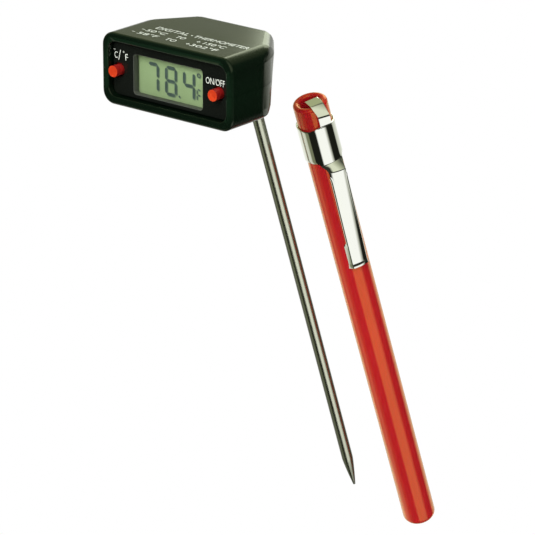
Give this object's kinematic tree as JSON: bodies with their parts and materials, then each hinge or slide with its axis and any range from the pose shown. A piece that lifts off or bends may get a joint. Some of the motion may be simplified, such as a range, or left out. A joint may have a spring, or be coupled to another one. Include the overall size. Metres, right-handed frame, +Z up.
{
  "type": "digital pocket thermometer",
  "caption": "Digital stem thermometer: hexagonal black head with a recessed display and push buttons, pointed steel stem, and a red pocket sheath with a spring clip.",
  "frame": {"origin": "the blunt end of the stem's tip", "axes": "+Z up along the stem towards the head, +X along the display to the right as it is read, -Y the side the display faces"},
  "size_m": [0.047, 0.0493, 0.1979],
  "materials": {
    "shell_plastic": "fine matt texture, black",
    "panel_plastic": "smooth black",
    "lens": "clear, polished",
    "lcd": "grey-green reflective display",
    "rubber": "matt black",
    "board": "green solder resist",
    "epoxy": "black resin",
    "button_red": "moulded orange-red, glossy",
    "spring_steel": "bright strip",
    "cell_steel": "nickel-plated",
    "screw_steel": "zinc-plated",
    "stem_steel": "polished stainless",
    "brass": "turned",
    "copper": "enamelled copper wire",
    "sleeve": "woven insulation, cream",
    "sheath_red": "moulded red, glossy",
    "chrome": "bright nickel-chrome plate"
  },
  "bodies": {
    "head": {"upper_shell": "shell_plastic", "lower_shell": "shell_plastic", "front_panel": "panel_plastic", "window_lens": "lens", "lcd_cell": "lcd", "lcd_connector_upper": "rubber", "lcd_connector_lower": "rubber", "circuit_board": "board", "chip_blob": "epoxy", "units_switch_dome": "spring_steel", "power_switch_dome": "spring_steel", "battery_cell": "cell_steel", "battery_cradle": "shell_plastic", "battery_contact": "spring_steel", "shell_screw_left": "screw_steel", "shell_screw_right": "screw_steel", "stem_tube": "stem_steel", "stem_collar": "brass", "stem_bung": "rubber", "insulating_sleeve": "sleeve", "thermistor_bead": "epoxy", "sensor_lead_left": "copper", "sensor_lead_right": "copper"},
    "units_button": {"units_button": "button_red"},
    "power_button": {"power_button": "button_red"},
    "battery_seal": {"battery_seal": "rubber"},
    "battery_cap": {"battery_cap": "shell_plastic", "cap_contact": "spring_steel"},
    "sheath": {"sheath_tube": "sheath_red", "clip_band": "chrome"},
    "clip_leaf": {"clip_leaf": "chrome"}
  },
  "joints": [
    {"name": "units_button_press", "type": "slide", "parent": "head", "child": "units_button", "axis": [0, 0.9382, -0.3461], "range_m": [0, 0.0008], "stiffness_N_per_m": 400},
    {"name": "power_button_press", "type": "slide", "parent": "head", "child": "power_button", "axis": [0, 0.9382, -0.3461], "range_m": [0, 0.0008], "stiffness_N_per_m": 400},
    {"name": "battery_cap_lift", "type": "slide", "parent": "head", "child": "battery_seal", "axis": [0, -0.3461, -0.9382], "range_m": [0, 0.012]},
    {"name": "battery_cap_turn", "type": "hinge", "parent": "battery_seal", "child": "battery_cap", "pos_m": [0, -0.01749, 0.15581], "axis": [0, -0.3461, -0.9382], "range_deg": [0, 90]},
    {"name": "sheath_slide", "type": "slide", "parent": "head", "child": "sheath", "axis": [0.0177, 0, -0.9998], "range_m": [0, 0.155]},
    {"name": "clip_flex", "type": "hinge", "parent": "sheath", "child": "clip_leaf", "pos_m": [0.01711, 0.00799, 0.12294], "axis": [-0.3745, -0.9272, -0.0066], "range_deg": [0, 5]}
  ]
}
